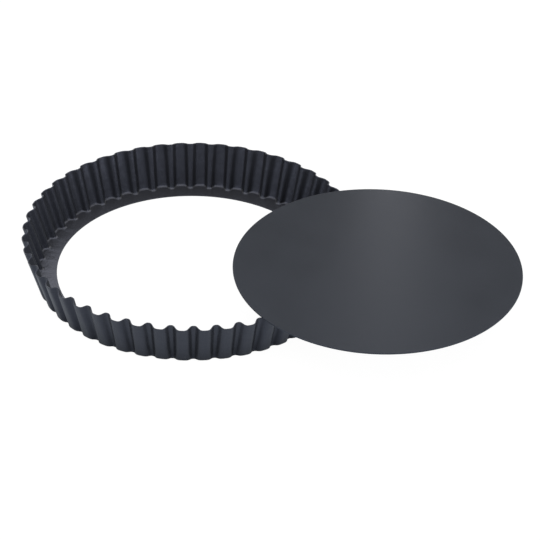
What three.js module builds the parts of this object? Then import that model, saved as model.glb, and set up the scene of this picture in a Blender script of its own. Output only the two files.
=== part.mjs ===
// A loose-bottom flan pan: a fluted ring of coated sheet steel with an in-turned ledge at its foot, and the
// flat round base that rests on that ledge for baking. The base is lifted out here and lies across the rim.
// Millimetres, +Z up, standing on z = 0, with the origin under the middle of the two pieces together.

import * as THREE from "three";

// Ring: wall
const RIM_DIAMETER = 250; // across the rim, outside the lobes
const LOBE_HEIGHT = 33.5; // table to rim on a lobe
const RIDGE_RISE = 1.5; // extra height of the rim on a ridge, left by the pressing
const WALL_LEAN = 10; // how far the wall leans out between table and rim
const SHEET = 0.8; // steel sheet of wall and ledge
const FOOT_FILLET = 2; // inside radius between ledge and wall

// Ring: flutes, wide lobes that bulge out between narrow ridges that stand in
const FLUTES = 48;
const FLUTE_TURN = 6.2; // degrees round from +X to the first ridge
const FLUTE_DEPTH = 4; // lobe to ridge
const FLANK_STEEPNESS = 1.5; // 1 is a plain wave, more makes the flanks steeper, lobes and ridges flatter
const RIM_LOBE_WIDTH = 2.7; // 1 makes lobes as wide as ridges, more makes them wider
const FOOT_LOBE_WIDTH = 5.9;
const GROOVE_RUN_OUT = 0.3; // share of the depth that the outside grooves keep at the table
const COLUMNS_PER_FLUTE = 6;
const FILLET_STEPS = 2;
const SLOPE_STEP = 1e-4; // radians over which a flank's slope is taken

// Base
const BASE_PLAY = 4.4; // gap all round between the seated base and the ridges' feet
const SEAT_OVERLAP = 4.5; // width of the ledge that the seated base covers
const BASE_THICKNESS = 1;
const BASE_EDGE = 0.3; // chamfer of the base's cut edge
const BASE_SEGMENTS = 128;

// Where the base lies: on top of the rim, with its middle a little outside the ring
const BASE_PAST_RIM = 18;
const RIM_GAP = 0.3; // air between the base and the highest points of the rim

// Derived sizes
const rimRadius = RIM_DIAMETER / 2;
const footRadius = rimRadius - WALL_LEAN;
const leanAngle = Math.atan2(WALL_LEAN, LOBE_HEIGHT);
const cornerRadius = FOOT_FILLET + SHEET;
const cornerCentre = footRadius - (cornerRadius * (1 - Math.sin(leanAngle))) / Math.cos(leanAngle);
const baseRadius = cornerCentre - FLUTE_DEPTH - BASE_PLAY;
const holeRadius = baseRadius - SEAT_OVERLAP;
const rimTop = LOBE_HEIGHT + RIDGE_RISE;

// How far the wall stands in at an angle from a ridge: 0 on a lobe, 1 on a ridge.
function ridgeShare(angle, lobeWidth) {
  const wave = (1 + Math.cos(FLUTES * angle)) / 2;
  const ridge = wave ** FLANK_STEEPNESS;
  const lobe = lobeWidth * (1 - wave) ** FLANK_STEEPNESS;
  return ridge / (ridge + lobe);
}

// Change of ridgeShare with angle.
function ridgeSlope(angle, lobeWidth) {
  const before = ridgeShare(angle - SLOPE_STEP, lobeWidth);
  const after = ridgeShare(angle + SLOPE_STEP, lobeWidth);
  return (after - before) / (2 * SLOPE_STEP);
}

// One corner of the ring's cross-section, as it is on a lobe. On a ridge it stands in by depth and up by
// rise.
function corner(radius, height, depth, lobeWidth, rise, inside) {
  return { radius, height, depth, lobeWidth, rise, inside };
}

// The round corner between ledge and wall, from the ledge's end to the wall's. Inside, the flutes run down
// to the ledge. Outside they run out round the corner, so that the ring stands on a gently waved foot.
function footArc(radius, inside) {
  const arc = [];
  for (let step = 0; step <= FILLET_STEPS; step += 1) {
    const share = step / FILLET_STEPS;
    const angle = -Math.PI / 2 + share * (Math.PI / 2 - leanAngle);
    const reach = cornerCentre + radius * Math.cos(angle);
    const height = cornerRadius + radius * Math.sin(angle);
    const kept = inside ? 1 : THREE.MathUtils.lerp(GROOVE_RUN_OUT, 1, share);
    arc.push(corner(reach, height, kept * FLUTE_DEPTH, FOOT_LOBE_WIDTH, 0, inside));
  }
  return arc;
}

// A corner of the rim's cut edge.
function rimCorner(radius, inside) {
  return corner(radius, LOBE_HEIGHT, FLUTE_DEPTH, RIM_LOBE_WIDTH, RIDGE_RISE, inside);
}

// A corner of the ledge's round edge, which has no flutes.
function ledgeCorner(height) {
  return corner(holeRadius, height, 0, 1, 0, false);
}

// The ring's closed cross-section: out along the ledge's underside, up the wall, over the rim and back
// inside.
function ringSection() {
  const sheetAcrossRim = SHEET / Math.cos(leanAngle);
  return [
    ledgeCorner(0),
    ...footArc(cornerRadius, false),
    rimCorner(rimRadius, false),
    rimCorner(rimRadius - sheetAcrossRim, true),
    ...footArc(FOOT_FILLET, true).reverse(),
    ledgeCorner(SHEET),
    ledgeCorner(0),
  ];
}

// The cross-section swept round the axis, with every corner moved in and up by the flutes. On a flute's
// flank the inside face stands in a little more, so that the sheet keeps its thickness across the slope.
function ringGeometry() {
  const section = ringSection();
  const columns = FLUTES * COLUMNS_PER_FLUTE;
  const outline = section.map(({ radius, height }) => new THREE.Vector2(radius, height));
  const geometry = new THREE.LatheGeometry(outline, columns);
  const position = geometry.attributes.position;
  for (let column = 0; column <= columns; column += 1) {
    const angle = (column / columns) * 2 * Math.PI;
    section.forEach(({ radius, height, depth, lobeWidth, rise, inside }, row) => {
      const share = ridgeShare(angle, lobeWidth);
      const slope = (depth * ridgeSlope(angle, lobeWidth)) / radius;
      const slant = inside ? SHEET * (Math.hypot(1, slope) - 1) : 0;
      const reach = radius - depth * share - slant;
      const index = column * section.length + row;
      position.setXYZ(index, reach * Math.cos(angle), reach * Math.sin(angle), height + rise * share);
    });
  }
  geometry.computeVertexNormals();
  return geometry;
}

// A flat disc with its cut edge broken top and bottom, its underside on z = 0.
function baseGeometry() {
  const outline = [
    new THREE.Vector2(0, 0),
    new THREE.Vector2(baseRadius - BASE_EDGE, 0),
    new THREE.Vector2(baseRadius, BASE_EDGE),
    new THREE.Vector2(baseRadius, BASE_THICKNESS - BASE_EDGE),
    new THREE.Vector2(baseRadius - BASE_EDGE, BASE_THICKNESS),
    new THREE.Vector2(0, BASE_THICKNESS),
  ];
  const geometry = new THREE.LatheGeometry(outline, BASE_SEGMENTS);
  geometry.rotateX(Math.PI / 2);
  return geometry;
}

// Dark satin non-stick coating on steel.
function coatedSteel() {
  return new THREE.MeshStandardMaterial({ color: 0x3c3e43, roughness: 0.55, metalness: 0.2 });
}

function namedMesh(name, geometry) {
  const mesh = new THREE.Mesh(geometry, coatedSteel());
  mesh.name = name;
  return mesh;
}

const flutedRing = namedMesh("fluted_ring", ringGeometry());
flutedRing.rotation.z = THREE.MathUtils.degToRad(FLUTE_TURN);

const looseBase = namedMesh("loose_base", baseGeometry());
looseBase.position.set(rimRadius + BASE_PAST_RIM, 0, rimTop + RIM_GAP);

const flanPan = new THREE.Group();
flanPan.add(flutedRing, looseBase);

const span = new THREE.Box3().setFromObject(flanPan, true);
flanPan.position.set(-(span.min.x + span.max.x) / 2, -(span.min.y + span.max.y) / 2, 0);

export default flanPan;
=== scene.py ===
"""Dresses a loose-bottom flan pan: a fluted ring of coated steel, and the flat base that lies across it.

Sizes are in metres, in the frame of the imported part: the ring's axis stands along Z, the table is at z = 0,
and +X runs from the ring's axis towards the middle of the base.
"""

import logging
import math
from dataclasses import dataclass, field
from enum import Enum

import bmesh
import bpy
from mathutils import Matrix, Vector


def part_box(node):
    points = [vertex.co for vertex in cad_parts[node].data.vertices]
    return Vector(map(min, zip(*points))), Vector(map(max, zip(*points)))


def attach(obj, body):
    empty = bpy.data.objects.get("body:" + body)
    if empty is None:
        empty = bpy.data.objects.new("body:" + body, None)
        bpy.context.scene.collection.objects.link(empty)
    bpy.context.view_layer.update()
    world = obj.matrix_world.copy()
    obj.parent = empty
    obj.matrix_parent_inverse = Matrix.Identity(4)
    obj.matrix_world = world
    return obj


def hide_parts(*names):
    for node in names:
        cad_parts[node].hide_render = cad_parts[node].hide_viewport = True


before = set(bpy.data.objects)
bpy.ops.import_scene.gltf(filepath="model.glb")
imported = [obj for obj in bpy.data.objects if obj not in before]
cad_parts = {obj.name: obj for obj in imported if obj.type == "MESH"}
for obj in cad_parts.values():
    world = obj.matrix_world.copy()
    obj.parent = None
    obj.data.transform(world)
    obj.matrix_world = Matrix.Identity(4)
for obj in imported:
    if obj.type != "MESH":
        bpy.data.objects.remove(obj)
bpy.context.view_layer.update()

Colour = tuple[float, float, float]
Opaque = tuple[float, float, float, float]
Spot = tuple[float, float, float]
Socket = bpy.types.NodeSocket
Sockets = bpy.types.NodeOutputs
Value = Socket | Vector | float | str | tuple[float, ...]

LOG = logging.getLogger("flan_pan")
MM = 0.001
FULL_TURN = 360.0
QUARTER_TURN = 90.0
HALF_STEP = 0.5  # keeps a test on whole numbers clear of rounding
ARCH_PEAK = 4.0  # makes x (1 - x) reach 1 in its middle
WHITE: Colour = (1.0, 1.0, 1.0)
COATING: Colour = (0.0095, 0.0100, 0.0115)
SEAT_OVERLAP = 4.5 * MM  # width of the ledge that the seated base covers
PAINTED_HIGHLIGHT_ATTRIBUTE = "painted_highlight"  # attribute that says how much painted highlight a point gets


class Body(Enum):
    """The two parts that move apart."""

    RING = "ring"
    BASE = "base"


class Ray(Enum):
    """The rays that see the table as plain white, by the name of their Light Path output."""

    CAMERA = "Is Camera Ray"
    GLOSSY = "Is Glossy Ray"
    TRANSMISSION = "Is Transmission Ray"


def opaque(colour: Colour) -> Opaque:
    """Adds an alpha of 1 to a colour."""
    return (*colour, 1.0)


def foot_middle(low: Vector, high: Vector) -> Vector:
    """Gives the middle of a box's underside, from its lowest and highest corners."""
    return Vector(((low.x + high.x) / 2, (low.y + high.y) / 2, low.z))


def add_object(name: str, data: bpy.types.ID) -> bpy.types.Object:
    """Makes an object and links it into the scene.

    Args:
        name: The object's name.
        data: Its mesh, lamp or lens.

    Returns:
        The new object.
    """
    made = bpy.data.objects.new(name, data)
    bpy.context.scene.collection.objects.link(made)
    return made


def plain_piece(source: bpy.types.Object, name: str) -> bpy.types.Object:
    """Turns an object with modifiers into a plain mesh, and removes the object.

    Args:
        source: The object with its modifiers.
        name: The new piece's name.

    Returns:
        The new piece, at the origin.
    """
    graph = bpy.context.evaluated_depsgraph_get()
    shaped = source.evaluated_get(graph)
    mesh = bpy.data.meshes.new_from_object(shaped, preserve_all_data_layers=True, depsgraph=graph)
    mesh.name = name
    bpy.data.objects.remove(source)
    return add_object(name, mesh)


def settle(piece: bpy.types.Object, body: Body, node: str) -> bpy.types.Object:
    """Sets a finished piece on its body, in the place of its CAD node.

    Args:
        piece: The finished piece.
        body: The body that it rides on.
        node: The CAD node that it stands for.

    Returns:
        The same piece.
    """
    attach(piece, body.value)
    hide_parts(node)
    return piece


class NodeWriter:
    """Writes nodes into a node tree. An input takes a plain value, or the socket that feeds it."""

    def __init__(self, tree: bpy.types.NodeTree) -> None:
        """Keeps the geometry or shader node tree to write into."""
        self.tree = tree

    def feed(self, socket: Socket, value: Value) -> None:
        """Sets an input, or links it.

        Args:
            socket: The input to feed.
            value: A plain value, or an output socket.
        """
        if isinstance(value, Socket):
            self.tree.links.new(value, socket)
        else:
            socket.default_value = value

    def node(self, kind: str, inputs: dict[str, Value], **settings: str) -> bpy.types.Node:
        """Adds one node whose inputs are fed by name.

        Args:
            kind: The node's Blender type.
            inputs: Values or sockets, by the name of the input that they feed.
            **settings: The node's own options.

        Returns:
            The new node.
        """
        node = self.tree.nodes.new(kind)
        for option, value in settings.items():
            setattr(node, option, value)
        for name, value in inputs.items():
            self.feed(node.inputs[name], value)
        return node

    def ordered(self, kind: str, *values: Value, **settings: str) -> bpy.types.Node:
        """Adds one node whose inputs are fed in order.

        Args:
            kind: The node's Blender type.
            *values: Values or sockets, from the first input on.
            **settings: The node's own options.

        Returns:
            The new node.
        """
        node = self.node(kind, {}, **settings)
        for socket, value in zip(node.inputs, values):
            self.feed(socket, value)
        return node

    def math(self, operation: str, *values: Value) -> Socket:
        """Adds one Math node, and gives its result's socket."""
        return self.ordered("ShaderNodeMath", *values, operation=operation).outputs[0]

    def share(self, value: Value, low: Value, high: Value) -> Socket:
        """Says how far a value lies between two others, held between 0 at low and 1 at high."""
        ends = {"Value": value, "From Min": low, "From Max": high}
        return self.node("ShaderNodeMapRange", ends).outputs[0]

    def mix(self, share: Value, low: Value, high: Value) -> Socket:
        """Mixes two numbers: a share of 0 gives low, and 1 gives high."""
        ends = {"Value": share, "To Min": low, "To Max": high}
        return self.node("ShaderNodeMapRange", ends).outputs[0]


@dataclass(frozen=True)
class CoatedSteel:
    """A dark satin non-stick coating on steel sheet.

    Attributes:
        name: The material's name.
        colour: The coating's colour, linear.
        cloud: How much lighter and darker the coating is in patches, as a share of its colour.
        cloud_size: How far one patch is from the next.
        cloud_detail: How many finer layers the patches have.
        speck: How much lighter and darker single grains are, as a share of the colour.
        grain_size: How far one grain is from the next.
        grain_detail: How many finer layers the grains have.
        grain_height: How far the grains stand up.
        ripple_size: How far one soft ripple of the pressed sheet is from the next.
        ripple_detail: How many finer layers the ripples have.
        ripple_height: How far the ripples stand up.
        fineness: How strong each finer layer is.
        smooth: Roughness where the coating lies smoothest.
        dull: Roughness where it is dullest.
        specular: Strength of the mirror reflection, 0.5 for plain lacquer.
        sheen: The reflection's tint, linear.
        painted_highlight: The colour of the painted highlight on the ring's inner bend and ledge, linear.
    """

    name: str
    colour: Colour
    cloud: float = 0.10
    cloud_size: float = 30 * MM
    cloud_detail: float = 3.0
    speck: float = 0.14
    grain_size: float = 0.9 * MM
    grain_detail: float = 2.0
    grain_height: float = 0.012 * MM
    ripple_size: float = 5 * MM
    ripple_detail: float = 1.0
    ripple_height: float = 0.01 * MM
    fineness: float = 0.55
    smooth: float = 0.34
    dull: float = 0.44
    specular: float = 0.485
    sheen: Colour = (0.61, 0.735, 1.0)
    painted_highlight: Colour = (0.048, 0.048, 0.050)

    def material(self) -> bpy.types.Material:
        """Builds the coating.

        Returns:
            The new material.
        """
        material = bpy.data.materials.new(self.name)
        material.use_nodes = True
        shader = material.node_tree.nodes["Principled BSDF"]
        writer = NodeWriter(material.node_tree)
        place = writer.node("ShaderNodeTexCoord", {}).outputs["Object"]
        clouds = self.noise(writer, place, self.cloud_size, self.cloud_detail)
        grains = self.noise(writer, place, self.grain_size, self.grain_detail)
        writer.feed(shader.inputs["Base Color"], self.colour_and_painted_highlight(writer, clouds, grains))
        writer.feed(shader.inputs["Roughness"], writer.mix(clouds, self.smooth, self.dull))
        writer.feed(shader.inputs["Normal"], self.relief(writer, place, grains))
        shader.inputs["Specular IOR Level"].default_value = self.specular
        shader.inputs["Specular Tint"].default_value = opaque(self.sheen)
        return material

    def colour_and_painted_highlight(self, writer: NodeWriter, clouds: Socket, grains: Socket) -> Socket:
        """Mixes the coating's colour, lighter and darker in patches and grains, with the painted highlight's
        colour.

        Args:
            writer: Writes into the material's tree.
            clouds: The patches' noise.
            grains: The grains' noise.

        Returns:
            The colour's socket.
        """
        patches = writer.math("MULTIPLY", clouds, self.cloud)
        spread = self.cloud + self.speck
        lightness = writer.share(writer.math("MULTIPLY_ADD", grains, self.speck, patches), 0.0, spread)
        ramp = writer.node("ShaderNodeValToRGB", {"Fac": lightness})
        for stop, factor in zip(ramp.color_ramp.elements, (1 - spread, 1 + spread)):
            stop.color = self.shade(factor)
        # painted highlight: a lighter colour along the ring's inner bend and on its ledge, standing in for
        # the light that they catch
        painted_highlight_share = writer.node("ShaderNodeAttribute", {}, attribute_name=PAINTED_HIGHLIGHT_ATTRIBUTE).outputs["Fac"]
        colours = {"Fac": painted_highlight_share, "Color1": ramp.outputs["Color"], "Color2": opaque(self.painted_highlight)}
        return writer.node("ShaderNodeMixRGB", colours).outputs["Color"]

    def shade(self, factor: float) -> Opaque:
        """Gives the coating's colour, made lighter or darker by a factor."""
        red, green, blue = (channel * factor for channel in self.colour)
        return opaque((red, green, blue))

    def relief(self, writer: NodeWriter, place: Socket, grains: Socket) -> Socket:
        """Adds the pressed sheet's soft ripples, and the coating's grains on them.

        Args:
            writer: Writes into the material's tree.
            place: The point's coordinates.
            grains: The grains' noise.

        Returns:
            The normal's socket.
        """
        ripples = self.noise(writer, place, self.ripple_size, self.ripple_detail)
        pressed = {"Height": ripples, "Distance": self.ripple_height, "Strength": 1.0}
        normal = writer.node("ShaderNodeBump", pressed).outputs["Normal"]
        grained = {"Height": grains, "Distance": self.grain_height, "Strength": 1.0, "Normal": normal}
        return writer.node("ShaderNodeBump", grained).outputs["Normal"]

    def noise(self, writer: NodeWriter, place: Socket, size: float, detail: float) -> Socket:
        """Adds a noise of about 0 to 1, whose patches are a real size apart."""
        settings = {"Vector": place, "Scale": 1 / size, "Detail": detail, "Roughness": self.fineness}
        return writer.node("ShaderNodeTexNoise", settings).outputs[0]


@dataclass(frozen=True)
class SheetPoint:
    """Where on the ring's sheet a point lies, as sockets that run from 0 to 1.

    Attributes:
        inside: 0 on the outer face, 1 on the inner face.
        out: 0 on the ledge's edge, 1 past it.
        bend: How far round the foot's bend the point lies.
        up: How far up the wall it lies.
    """

    inside: Socket
    out: Socket
    bend: Socket
    up: Socket


@dataclass
class FlutedRing:
    """The pressed ring: a fluted wall that leans out, a plain cut rim, and a flat ledge round a large hole.

    Attributes:
        hole_radius: The hole in the ledge.
        finish: The coating.
        flutes: How many ridges stand in round the wall.
        flute_turn: Degrees round from +X to the first ridge.
        ridge_rise: How much higher the rim is on a ridge than on a lobe.
        wall_lean: How far the wall leans out between table and rim.
        sheet: The steel sheet's thickness.
        foot_fillet: The inside radius between ledge and wall.
        flute_depth: Lobe to ridge.
        flank_steepness: 1 is a plain wave, more makes the flanks steeper, and lobes and ridges flatter.
        rim_lobe_width: 1 makes lobes as wide as ridges, more makes them wider, here at the rim.
        foot_lobe_width: The same at the foot.
        groove_run_out: The share of their depth that the outside grooves keep at the table.
        press_play: How far the pressed wall strays from its true line.
        press_patch: How far one such stray is from the next.
        press_detail: How many finer layers the strays have.
        press_seed: Picks where the wall strays.
        flute_columns: Columns of faces across one flute.
        bend_rows: Rows of points round the foot's bend.
        wall_rows: Rows of faces up the wall.
        cut_edge: The round on the sheet's cut edges.
        cut_edge_steps: Faces across that round.
        cut_edge_angle: Degrees between two faces from which their edge counts as cut.
        flat: The wave's sine below which it counts as flat.
        seam: How near two points of the seam are joined.
        highlight_focus: How narrow the painted highlight along the inner bend is.
        ledge_highlight: How much painted highlight the ledge's top gets, as a share of that line.
        centre: The point on the table under the ring's axis, from the frame.
        rim_radius: The rim's radius outside a lobe, from the frame.
        rim_top: The rim's height on a ridge, from the frame.
    """

    hole_radius: float
    finish: CoatedSteel
    flutes: int = 48
    flute_turn: float = 6.2
    ridge_rise: float = 1.5 * MM
    wall_lean: float = 10 * MM
    sheet: float = 0.8 * MM
    foot_fillet: float = 2 * MM
    flute_depth: float = 4 * MM
    flank_steepness: float = 1.5
    rim_lobe_width: float = 2.7
    foot_lobe_width: float = 5.9
    groove_run_out: float = 0.3
    press_play: float = 0.15 * MM
    press_patch: float = 18 * MM
    press_detail: float = 1.0
    press_seed: float = 7.0
    flute_columns: int = 24
    bend_rows: int = 7
    wall_rows: int = 8
    cut_edge: float = 0.22 * MM
    cut_edge_steps: int = 3
    cut_edge_angle: float = 60.0
    flat: float = 0.001
    seam: float = 0.01 * MM
    highlight_focus: float = 3.0
    ledge_highlight: float = 0.3
    centre: Vector = field(init=False)
    rim_radius: float = field(init=False)
    rim_top: float = field(init=False)

    def __post_init__(self) -> None:
        """Takes the ring's place and sizes from the frame. The lobe next to the X axis is its widest."""
        low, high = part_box("fluted_ring")
        pitch = FULL_TURN / self.flutes
        lobe_turn = self.flute_turn % pitch - pitch / 2
        self.centre = foot_middle(low, high)
        self.rim_radius = (high.x - low.x) / 2 / math.cos(math.radians(lobe_turn))
        self.rim_top = high.z

    def sizes(self) -> dict[str, float]:
        """Works out the sizes that the ring's tree takes.

        Returns:
            The tree's inputs by name.
        """
        lobe_height = self.rim_top - self.ridge_rise
        lean = math.atan2(self.wall_lean, lobe_height)
        corner = self.foot_fillet + self.sheet
        foot_radius = self.rim_radius - self.wall_lean
        return {
            "Hole Radius": self.hole_radius,
            "Bend Centre": foot_radius - corner * (1 - math.sin(lean)) / math.cos(lean),
            "Outer Bend": corner,
            "Inner Bend": self.foot_fillet,
            "Wall Lean": lean,
            "Outer Rim": self.rim_radius,
            "Inner Rim": self.rim_radius - self.sheet / math.cos(lean),
            "Rim Height": lobe_height,
            "Ridge Rise": self.ridge_rise,
            "Sheet": self.sheet,
            "Flute Turn": math.radians(self.flute_turn),
            "Flute Depth": self.flute_depth,
            "Flank Steepness": self.flank_steepness,
            "Foot Lobe Width": self.foot_lobe_width,
            "Rim Lobe Width": self.rim_lobe_width,
            "Groove Run Out": self.groove_run_out,
            "Press Play": self.press_play,
            "Press Patch": self.press_patch,
            "Press Detail": self.press_detail,
            "Press Seed": self.press_seed,
            "Flat": self.flat,
            "Seam": self.seam,
            "Highlight Focus": self.highlight_focus,
            "Ledge Highlight": self.ledge_highlight,
        }

    def counts(self) -> dict[str, int]:
        """Lists the counts that the ring's tree takes.

        Returns:
            The tree's inputs by name.
        """
        return {
            "Flutes": self.flutes,
            "Columns": self.flutes * self.flute_columns,
            "Bend Rows": self.bend_rows,
            "Wall Rows": self.wall_rows,
        }

    def tree(self) -> tuple[bpy.types.NodeTree, dict[str, str]]:
        """Builds the geometry nodes that sweep the sheet round the axis and press the flutes into it.

        Returns:
            The tree, and each input's identifier by its name.
        """
        tree = bpy.data.node_groups.new("pressed_ring", "GeometryNodeTree")
        tree.interface.new_socket("Geometry", in_out="OUTPUT", socket_type="NodeSocketGeometry")
        kinds = {name: "NodeSocketFloat" for name in self.sizes()}
        kinds |= {name: "NodeSocketInt" for name in self.counts()}
        kinds |= {"Centre": "NodeSocketVector", "Coating": "NodeSocketMaterial"}
        names = {}
        for name, kind in kinds.items():
            names[name] = tree.interface.new_socket(name, in_out="INPUT", socket_type=kind).identifier
        writer = NodeWriter(tree)
        given = tree.nodes.new("NodeGroupInput").outputs
        side = writer.math("ADD", writer.math("ADD", given["Bend Rows"], given["Wall Rows"]), 1)
        rows = writer.math("MULTIPLY_ADD", side, 2, 1)
        columns = writer.math("ADD", given["Columns"], 1)
        grid = writer.node("GeometryNodeMeshGrid", {"Vertices X": columns, "Vertices Y": rows})
        place, painted_highlight_share = self.place(writer, given, side, rows)
        # stores each point's share of painted highlight, which the coating reads
        highlight_store = {"Geometry": grid.outputs["Mesh"], "Name": PAINTED_HIGHLIGHT_ATTRIBUTE, "Value": painted_highlight_share}
        sheet = writer.node("GeometryNodeStoreNamedAttribute", highlight_store, domain="POINT").outputs[0]
        sheet = writer.node("GeometryNodeSetPosition", {"Geometry": sheet, "Position": place}).outputs[0]
        joined = {"Geometry": sheet, "Distance": given["Seam"]}
        sheet = writer.node("GeometryNodeMergeByDistance", joined).outputs[0]
        sheet = writer.node("GeometryNodeSetShadeSmooth", {"Geometry": sheet}).outputs[0]
        sheet = writer.node("GeometryNodeRealizeInstances", {"Geometry": sheet}).outputs[0]
        coated = {"Geometry": sheet, "Material": given["Coating"]}
        sheet = writer.node("GeometryNodeSetMaterial", coated).outputs[0]
        writer.node("NodeGroupOutput", {"Geometry": sheet})
        return tree, names

    def place(
        self, writer: NodeWriter, given: Sockets, side: Socket, rows: Socket
    ) -> tuple[Socket, Socket]:
        """Adds the rule for each point's place, from its column and row in the grid of faces.

        The rows run out along the ledge's underside and up the wall's outer face, then back down its inner
        face and in along the ledge's top, and the last row lies on the first.

        Args:
            writer: Writes into the ring's tree.
            given: The tree's inputs.
            side: How many rows each face of the sheet has.
            rows: How many rows there are in all.

        Returns:
            The sockets of the point's place, and of how much painted highlight it gets.
        """
        index = writer.node("GeometryNodeInputIndex", {}).outputs[0]
        column = writer.math("FLOOR", writer.math("DIVIDE", writer.math("ADD", index, HALF_STEP), rows))
        row = writer.math("SUBTRACT", index, writer.math("MULTIPLY", column, rows))
        face = self.sheet_point(writer, given, side, row)
        angle = writer.math("MULTIPLY", writer.math("DIVIDE", column, given["Columns"]), math.tau)
        reach, height = self.pressed(writer, given, face, angle)
        around = self.turned(writer, writer.math("ADD", angle, given["Flute Turn"]), reach, height)
        placed = writer.ordered("ShaderNodeVectorMath", around, given["Centre"], operation="ADD")
        return placed.outputs[0], self.painted_highlight_share(writer, given, face)

    @staticmethod
    def sheet_point(writer: NodeWriter, given: Sockets, side: Socket, row: Socket) -> SheetPoint:
        """Says where on the sheet a row of the grid lies.

        Args:
            writer: Writes into the ring's tree.
            given: The tree's inputs.
            side: How many rows each face of the sheet has.
            row: The row's number.

        Returns:
            The row's place on the sheet.
        """
        row = writer.math("MODULO", row, writer.math("MULTIPLY", side, 2))
        inside = writer.math("GREATER_THAN", row, writer.math("SUBTRACT", side, HALF_STEP))
        back = writer.math("SUBTRACT", writer.math("MULTIPLY_ADD", side, 2, -1), row)
        step = writer.mix(inside, row, back)
        out = writer.math("MINIMUM", step, 1.0)
        bend = writer.share(step, 1.0, given["Bend Rows"])
        up = writer.share(step, given["Bend Rows"], writer.math("SUBTRACT", side, 1.0))
        return SheetPoint(inside, out, bend, up)

    def pressed(
        self, writer: NodeWriter, given: Sockets, face: SheetPoint, angle: Socket
    ) -> tuple[Socket, Socket]:
        """Presses the flutes into a point of the sheet.

        A flank keeps the sheet's thickness across its slope.

        Args:
            writer: Writes into the ring's tree.
            given: The tree's inputs.
            face: Where on the sheet the point lies.
            angle: The angle round the axis, from a ridge.

        Returns:
            The sockets of its distance from the axis and its height.
        """
        reach, height = self.section(writer, given, face)
        kept = writer.math("MAXIMUM", face.inside, writer.mix(face.bend, given["Groove Run Out"], 1.0))
        depth = writer.math("MULTIPLY", given["Flute Depth"], writer.math("MULTIPLY", face.out, kept))
        lobe_width = writer.mix(face.up, given["Foot Lobe Width"], given["Rim Lobe Width"])
        ridge, slope = self.ridge(writer, given, angle, lobe_width)
        flank = writer.math("DIVIDE", writer.math("MULTIPLY", depth, slope), reach)
        stretch = writer.math("SQRT", writer.math("MULTIPLY_ADD", flank, flank, 1.0))
        slant = writer.math("MULTIPLY", writer.math("SUBTRACT", stretch, 1.0), given["Sheet"])
        moved = writer.math("MULTIPLY_ADD", depth, ridge, writer.math("MULTIPLY", slant, face.inside))
        rise = writer.math("MULTIPLY", writer.math("MULTIPLY", face.up, given["Ridge Rise"]), ridge)
        height = writer.math("ADD", height, rise)
        stray = self.stray(writer, given, angle, height)
        play = writer.math("MULTIPLY", face.up, given["Press Play"])
        moved = writer.math("MULTIPLY_ADD", play, stray, moved)
        return writer.math("SUBTRACT", reach, moved), height

    @staticmethod
    def section(writer: NodeWriter, given: Sockets, face: SheetPoint) -> tuple[Socket, Socket]:
        """Gives a point of the sheet's section, as it is on a lobe.

        Args:
            writer: Writes into the ring's tree.
            given: The tree's inputs.
            face: Where on the sheet the point lies.

        Returns:
            The sockets of its distance from the axis and its height.
        """
        radius = writer.mix(face.inside, given["Outer Bend"], given["Inner Bend"])
        slope = writer.mix(face.bend, -math.pi / 2, writer.math("MULTIPLY", given["Wall Lean"], -1.0))
        reach = writer.math("MULTIPLY_ADD", writer.math("COSINE", slope), radius, given["Bend Centre"])
        height = writer.math("MULTIPLY_ADD", writer.math("SINE", slope), radius, given["Outer Bend"])
        rim = writer.mix(face.inside, given["Outer Rim"], given["Inner Rim"])
        reach = writer.mix(face.out, given["Hole Radius"], writer.mix(face.up, reach, rim))
        return reach, writer.mix(face.up, height, given["Rim Height"])

    @staticmethod
    def ridge(
        writer: NodeWriter, given: Sockets, angle: Socket, lobe_width: Socket
    ) -> tuple[Socket, Socket]:
        """Says how far the wall stands in at an angle from a ridge: 0 on a lobe, 1 on a ridge.

        Args:
            writer: Writes into the ring's tree.
            given: The tree's inputs.
            angle: The angle round the axis, from a ridge.
            lobe_width: How much wider lobes are than ridges.

        Returns:
            The sockets of that share and of how fast it changes with the angle.
        """
        phase = writer.math("MULTIPLY", angle, given["Flutes"])
        wave = writer.math("MULTIPLY_ADD", writer.math("COSINE", phase), 0.5, 0.5)
        high = writer.math("POWER", wave, given["Flank Steepness"])
        low = writer.math("POWER", writer.math("SUBTRACT", 1.0, wave), given["Flank Steepness"])
        share = writer.math("DIVIDE", high, writer.math("MULTIPLY_ADD", low, lobe_width, high))
        sway = writer.math("MAXIMUM", writer.math("ABSOLUTE", writer.math("SINE", phase)), given["Flat"])
        flank = writer.math("MULTIPLY", share, writer.math("SUBTRACT", 1.0, share))
        steep = writer.math("DIVIDE", writer.math("MULTIPLY", flank, given["Flank Steepness"]), sway)
        rate = writer.math("MULTIPLY", given["Flutes"], 2.0)
        return share, writer.math("MULTIPLY", steep, rate)

    def stray(self, writer: NodeWriter, given: Sockets, angle: Socket, height: Socket) -> Socket:
        """Says how far the pressing strays from its true line, as a soft noise over the wall.

        Args:
            writer: Writes into the ring's tree.
            given: The tree's inputs.
            angle: The angle round the axis.
            height: The height over the table.

        Returns:
            The noise's socket, about 0 to 1.
        """
        settings = {
            "Vector": self.turned(writer, angle, given["Outer Rim"], height),
            "W": given["Press Seed"],
            "Scale": writer.math("DIVIDE", 1.0, given["Press Patch"]),
            "Detail": given["Press Detail"],
        }
        return writer.node("ShaderNodeTexNoise", settings, noise_dimensions="4D").outputs[0]

    @staticmethod
    def turned(writer: NodeWriter, angle: Socket, reach: Socket, height: Socket) -> Socket:
        """Turns a reach and a height round the axis.

        Args:
            writer: Writes into the ring's tree.
            angle: The angle round the axis.
            reach: The distance from the axis.
            height: The height over the table.

        Returns:
            The socket of the point.
        """
        across = writer.math("MULTIPLY", reach, writer.math("COSINE", angle))
        away = writer.math("MULTIPLY", reach, writer.math("SINE", angle))
        return writer.node("ShaderNodeCombineXYZ", {"X": across, "Y": away, "Z": height}).outputs[0]

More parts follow.
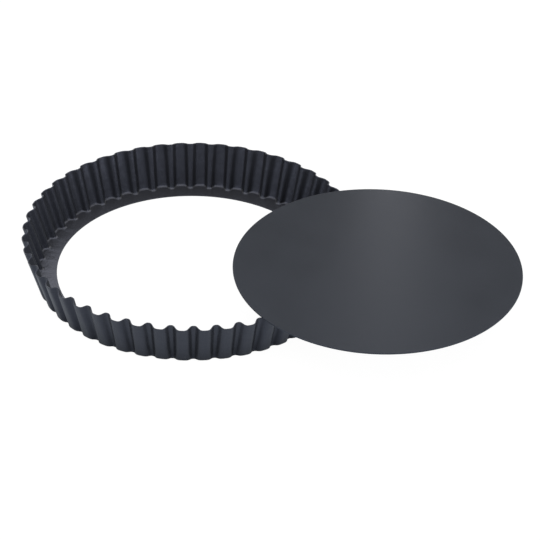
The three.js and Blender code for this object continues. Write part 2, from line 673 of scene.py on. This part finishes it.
    @staticmethod
    def painted_highlight_share(writer: NodeWriter, given: Sockets, face: SheetPoint) -> Socket:
        """Says how much painted highlight a point gets: in a line along the inner bend, and less on the
        ledge.

        Args:
            writer: Writes into the ring's tree.
            given: The tree's inputs.
            face: Where on the sheet the point lies.

        Returns:
            The socket of the painted highlight's share.
        """
        # painted highlight: strongest in a line round the inner bend, weaker on the ledge
        flat = writer.math("SUBTRACT", 1.0, face.bend)
        arch = writer.math("MULTIPLY", writer.math("MULTIPLY", face.bend, flat), ARCH_PEAK)
        line = writer.math("POWER", arch, given["Highlight Focus"])
        painted_highlight = writer.math("MULTIPLY_ADD", flat, given["Ledge Highlight"], line)
        return writer.math("MULTIPLY", painted_highlight, face.inside)

    def build(self) -> bpy.types.Object:
        """Builds the ring and sets it on its body.

        Returns:
            The finished piece.
        """
        tree, names = self.tree()
        source = add_object("ring_sheet", bpy.data.meshes.new("ring_sheet"))
        wall = source.modifiers.new("pressed_ring", "NODES")
        wall.node_group = tree
        coated = {"Centre": self.centre, "Coating": self.finish.material()}
        for name, value in {**self.sizes(), **self.counts(), **coated}.items():
            wall[names[name]] = value
        edge = source.modifiers.new("cut_edge", "BEVEL")
        edge.width = self.cut_edge
        edge.segments = self.cut_edge_steps
        edge.limit_method = "ANGLE"
        edge.angle_limit = math.radians(self.cut_edge_angle)
        edge.harden_normals = True
        ring = plain_piece(source, "pressed_ring")
        return settle(ring, Body.RING, "fluted_ring")


@dataclass
class LooseBase:
    """The flat round base: a plain disc with its cut edge rounded.

    Attributes:
        finish: The coating.
        edge_round: The round on the cut edge, top and bottom.
        edge_steps: Faces across one such round.
        segments: Faces round the disc.
        rings: Rings of faces between the middle and the edge.
        centre: The middle of the disc's underside, from the frame.
        radius: The disc's radius, from the frame.
        thickness: Its thickness, from the frame.
    """

    finish: CoatedSteel
    edge_round: float = 0.3 * MM
    edge_steps: int = 4
    segments: int = 288
    rings: int = 8
    centre: Vector = field(init=False)
    radius: float = field(init=False)
    thickness: float = field(init=False)

    def __post_init__(self) -> None:
        """Takes the base's place and sizes from the frame."""
        low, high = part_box("loose_base")
        self.centre = foot_middle(low, high)
        self.radius = (high.x - low.x) / 2
        self.thickness = high.z - low.z

    def section(self) -> list[tuple[float, float]]:
        """Works out the disc's outline from the middle of its underside to the middle of its top.

        Returns:
            Points as distance from the axis and height over the underside, without the two middles.
        """
        flat = self.radius - self.edge_round
        held = flat - self.edge_round
        steps = [held * (number + 1) / self.rings for number in range(self.rings)]
        outline = [(reach, 0.0) for reach in steps]
        lower = (self.edge_round, -QUARTER_TURN)
        upper = (self.thickness - self.edge_round, 0.0)
        for middle, first in (lower, upper):
            for step in range(self.edge_steps + 1):
                angle = math.radians(first + QUARTER_TURN * step / self.edge_steps)
                reach = flat + self.edge_round * math.cos(angle)
                outline.append((reach, middle + self.edge_round * math.sin(angle)))
        return outline + [(reach, self.thickness) for reach in reversed(steps)]

    def loop(self, shape: bmesh.types.BMesh, reach: float, height: float) -> list[bmesh.types.BMVert]:
        """Adds one ring of points round the disc's axis.

        Args:
            shape: The mesh that is being built.
            reach: The ring's radius.
            height: Its height over the disc's underside.

        Returns:
            The points in order round the axis.
        """
        points = []
        for number in range(self.segments):
            angle = math.tau * number / self.segments
            around = Vector((reach * math.cos(angle), reach * math.sin(angle), height))
            points.append(shape.verts.new(self.centre + around))
        return points

    def build(self) -> bpy.types.Object:
        """Builds the base and sets it on its body.

        Returns:
            The finished piece.
        """
        mesh = bpy.data.meshes.new("base_disc")
        shape = bmesh.new()
        loops = [self.loop(shape, reach, height) for reach, height in self.section()]
        for lower, upper in zip(loops, loops[1:]):
            for number in range(self.segments):
                after = (number + 1) % self.segments
                shape.faces.new((lower[number], lower[after], upper[after], upper[number]))
        for ends, height, turn in ((loops[0], 0.0, -1), (loops[-1], self.thickness, 1)):
            middle = shape.verts.new(self.centre + Vector((0, 0, height)))
            for number in range(self.segments):
                pair = (ends[number], ends[(number + 1) % self.segments])
                shape.faces.new((middle, *pair[::turn]))
        for face in shape.faces:
            face.smooth = True
        shape.to_mesh(mesh)
        shape.free()
        mesh.materials.append(self.finish.material())
        base = add_object("base_disc", mesh)
        return settle(base, Body.BASE, "loose_base")


@dataclass
class Viewpoint:
    """The photograph's viewing angle, and places given as it sees them.

    Attributes:
        origin: The point on the table that the other sizes start from, under the ring's axis.
        azimuth: Degrees that the view is turned to the right of looking along +Y.
        elevation: Degrees that it looks down.
        roll: Degrees that the picture is turned clockwise.
        distance: How far the camera is from the point that it looks at.
        aim: That point, to the right of and away from the origin.
        focal_pixels: The lens's focal length, in pixels of the picture.
        picture_pixels: The picture's width.
        sensor: The sensor's width, in millimetres as Blender takes it.
    """

    origin: Vector
    azimuth: float = 18.5
    elevation: float = 34.55
    roll: float = 1.2
    distance: float = 1.86
    aim: tuple[float, float] = (58.1 * MM, 1.1 * MM)
    focal_pixels: float = 2500.0
    picture_pixels: float = 540.0
    sensor: float = 36.0

    def place(self, right: float, away: float, up: float) -> Vector:
        """Finds the place that lies to the right of, behind and over the origin, as the viewer sees it."""
        turn = Matrix.Rotation(math.radians(self.azimuth), 3, "Z")
        return self.origin + turn @ Vector((right, away, up))

    def camera(self) -> None:
        """Sets up the camera."""
        tilt = math.radians(self.elevation)
        right, away = self.aim
        spot = self.place(right, away - self.distance * math.cos(tilt), self.distance * math.sin(tilt))
        lens = bpy.data.cameras.new("camera")
        lens.sensor_width = self.sensor
        lens.lens = self.focal_pixels * self.sensor / self.picture_pixels
        camera = add_object("camera", lens)
        turn = Matrix.Rotation(math.radians(self.azimuth), 4, "Z")
        down = Matrix.Rotation(math.pi / 2 - tilt, 4, "X")
        rolled = Matrix.Rotation(math.radians(self.roll), 4, "Z")
        camera.matrix_world = Matrix.Translation(spot) @ turn @ down @ rolled
        bpy.context.scene.camera = camera


@dataclass(frozen=True)
class SoftBox:
    """One studio lamp with a soft rectangular face.

    Attributes:
        name: The lamp's name.
        place: Its middle, to the right of, away from and over the viewpoint's origin.
        target: The point that it faces, given the same way.
        size: The face's width and height.
        power: Its power in watts.
        tint: The light's colour, linear.
    """

    name: str
    place: Spot
    target: Spot
    size: tuple[float, float]
    power: float
    tint: Colour = WHITE

    def build(self, view: Viewpoint) -> None:
        """Sets up the lamp.

        Args:
            view: The viewpoint that its places are given from.
        """
        lamp = bpy.data.lights.new(self.name, "AREA")
        lamp.shape = "RECTANGLE"
        lamp.size, lamp.size_y = self.size
        lamp.energy = self.power
        lamp.color = self.tint
        spot = view.place(*self.place)
        facing = view.place(*self.target) - spot
        turned = facing.to_track_quat("-Z", "Y").to_matrix().to_4x4()
        box = add_object(self.name, lamp)
        box.matrix_world = Matrix.Translation(spot) @ turned
        box.visible_camera = False


@dataclass
class Studio:
    """A plain white table in soft light.

    Attributes:
        view: The viewpoint that the lamps' places are given from.
        table_size: The table's side.
        table_gap: How far the table's face lies under the part, so that the two don't touch.
        table_glow: The table's own light in the picture.
        table_shade: How much of the lamps' light the picture shows there, which keeps the shadow.
        mirrored_glow: The table's own light in reflections.
        mirrored_tint: That light's colour, linear.
        mirrored_shade: How much of the lamps' light reflections show there.
        painted_shade_distance: How far from the part the reflected table gets a painted contact shade.
        shaded_glow: The share of that light that the table keeps inside the ring, a painted shade.
        shaded_reach: Where the share starts to rise and where it is whole, from the ring's axis.
        table_colour: The table's plain grey, linear.
        sky: The strength of the even light from all round.
    """

    view: Viewpoint
    table_size: float = 40.0
    table_gap: float = 0.05 * MM
    table_glow: float = 0.96
    table_shade: float = 0.08
    mirrored_glow: float = 0.75
    mirrored_tint: Colour = (0.86, 0.93, 1.0)
    mirrored_shade: float = 0.05
    painted_shade_distance: float = 14 * MM
    shaded_glow: float = 0.3
    shaded_reach: tuple[float, float] = (95 * MM, 115 * MM)
    table_colour: float = 0.8
    sky: float = 0.23

    @staticmethod
    def lamps() -> list[SoftBox]:
        """Lists the lamps.

        Returns:
            The soft boxes round the table.
        """
        warm = (1.0, 0.95, 0.90)
        table = (0.05, 0.0, 0.0)
        ring = (0.0, 0.0, 0.02)
        left_ledge = (-0.1, -0.03, 0.0)
        base = (0.14, -0.05, 0.037)
        before_base = (0.145, -0.063, 0.118)
        return [
            SoftBox("overhead", (0.05, 0.0, 1.3), table, (2.2, 2.2), 20.0),
            SoftBox("front", (0.0, -1.55, 0.62), ring, (2.4, 1.2), 8.0),
            SoftBox("front_left", (-1.1, -1.2, 0.75), ring, (0.8, 0.8), 5.0),
            SoftBox("front_right", (1.1, -1.2, 0.75), ring, (0.8, 0.8), 5.5),
            SoftBox("back_low", (0.15, 2.5, 0.5), base, (3.0, 0.6), 6.0),
            SoftBox("right_low", (1.5, -0.55, 0.35), ring, (1.2, 0.5), 8.0),
            SoftBox("left_low", (-1.5, -0.55, 0.35), ring, (1.2, 0.5), 5.0),
            SoftBox("back_right", (1.0, 1.2, 0.9), base, (0.8, 0.8), 4.0),
            SoftBox("behind_base", (0.158, 0.218, 0.222), before_base, (0.04, 0.26), 0.058, warm),
            SoftBox("behind_left", (-0.16, 0.35, 0.30), left_ledge, (0.20, 0.25), 0.33),
        ]

    def table_material(self) -> bpy.types.Material:
        """Builds the table's white, which keeps a soft shadow.

        Returns:
            The new material.
        """
        material = bpy.data.materials.new("white_table")
        material.use_nodes = True
        tree = material.node_tree
        tree.nodes.clear()
        writer = NodeWriter(tree)
        path = writer.node("ShaderNodeLightPath", {}).outputs
        grey = opaque((self.table_colour,) * 3)
        plain = writer.node("ShaderNodeBsdfDiffuse", {"Color": grey}).outputs[0]
        mirrored = writer.math("MAXIMUM", path[Ray.GLOSSY.value], path[Ray.TRANSMISSION.value])
        reflected = self.white(writer, self.reflected_glow(writer), self.mirrored_shade, self.mirrored_tint)
        pictured = self.white(writer, self.table_glow, self.table_shade)
        unseen = writer.ordered("ShaderNodeMixShader", mirrored, plain, reflected).outputs[0]
        surface = writer.ordered("ShaderNodeMixShader", path[Ray.CAMERA.value], unseen, pictured).outputs[0]
        writer.node("ShaderNodeOutputMaterial", {"Surface": surface})
        return material

    def reflected_glow(self, writer: NodeWriter) -> Socket:
        """Adds the table's light in reflections, with a painted shade next to the part and inside the ring.

        Args:
            writer: Writes into the table's material.

        Returns:
            The light's socket.
        """
        # painted shade: occlusion darkens the reflected glow next to the part, and the glow drops to a share
        # inside the ring
        free = writer.node("ShaderNodeAmbientOcclusion", {"Distance": self.painted_shade_distance}).outputs["AO"]
        point = writer.node("ShaderNodeTexCoord", {}).outputs["Object"]
        reach = writer.ordered("ShaderNodeVectorMath", point, self.view.origin, operation="DISTANCE")
        outside = writer.share(reach.outputs["Value"], *self.shaded_reach)
        kept = writer.mix(outside, self.shaded_glow, 1.0)
        return writer.math("MULTIPLY", writer.math("MULTIPLY", free, kept), self.mirrored_glow)

    @staticmethod
    def white(writer: NodeWriter, glow: Value, shade: float, tint: Colour = WHITE) -> Socket:
        """Adds a white that glows a little, so that a shadow on it stays faint.

        Args:
            writer: Writes into the table's material.
            glow: The white's own light, as a number or a socket.
            shade: How much of the lamps' light it shows.
            tint: The colour of its own light, linear.

        Returns:
            The shader's socket.
        """
        lit = writer.node("ShaderNodeBsdfDiffuse", {"Color": opaque((shade,) * 3)}).outputs[0]
        own = writer.node("ShaderNodeEmission", {"Strength": glow, "Color": opaque(tint)}).outputs[0]
        return writer.ordered("ShaderNodeAddShader", lit, own).outputs[0]

    def table(self) -> None:
        """Builds the table that the part stands on."""
        half = self.table_size / 2
        corners = [(-half, -half), (half, -half), (half, half), (-half, half)]
        mesh = bpy.data.meshes.new("table")
        mesh.from_pydata([(x, y, -self.table_gap) for x, y in corners], [], [(0, 1, 2, 3)])
        mesh.materials.append(self.table_material())
        table = add_object("table", mesh)

    def build(self) -> None:
        """Sets up the even light, the table and the lamps."""
        world = bpy.data.worlds.new("studio")
        world.use_nodes = True
        even = world.node_tree.nodes["Background"]
        even.inputs["Color"].default_value = opaque(WHITE)
        even.inputs["Strength"].default_value = self.sky
        bpy.context.scene.world = world
        bpy.context.scene.view_settings.view_transform = "Standard"
        self.table()
        for lamp in self.lamps():
            lamp.build(self.view)


def report(piece: bpy.types.Object) -> None:
    """Logs a piece's name, its size in millimetres and how many faces it has."""
    size = " x ".join(f"{side / MM:.1f}" for side in piece.dimensions)
    LOG.info("%s: %s mm, %d faces", piece.name, size, len(piece.data.polygons))


def main() -> None:
    """Sets up the camera and the studio, and builds the pieces in order."""
    logging.basicConfig(level=logging.INFO, format="%(name)s: %(message)s")
    base = LooseBase(CoatedSteel("base_coating", COATING))
    pressed = CoatedSteel(
        "ring_coating",
        COATING,
        ripple_height=0.2 * MM,
        specular=0.63,
        sheen=(0.69, 0.745, 1.0),
    )
    ring = FlutedRing(base.radius - SEAT_OVERLAP, pressed)
    view = Viewpoint(ring.centre)
    view.camera()
    Studio(view).build()
    for piece in (ring.build(), base.build()):
        bpy.context.view_layer.update()
        report(piece)


if __name__ == "__main__":
    main()
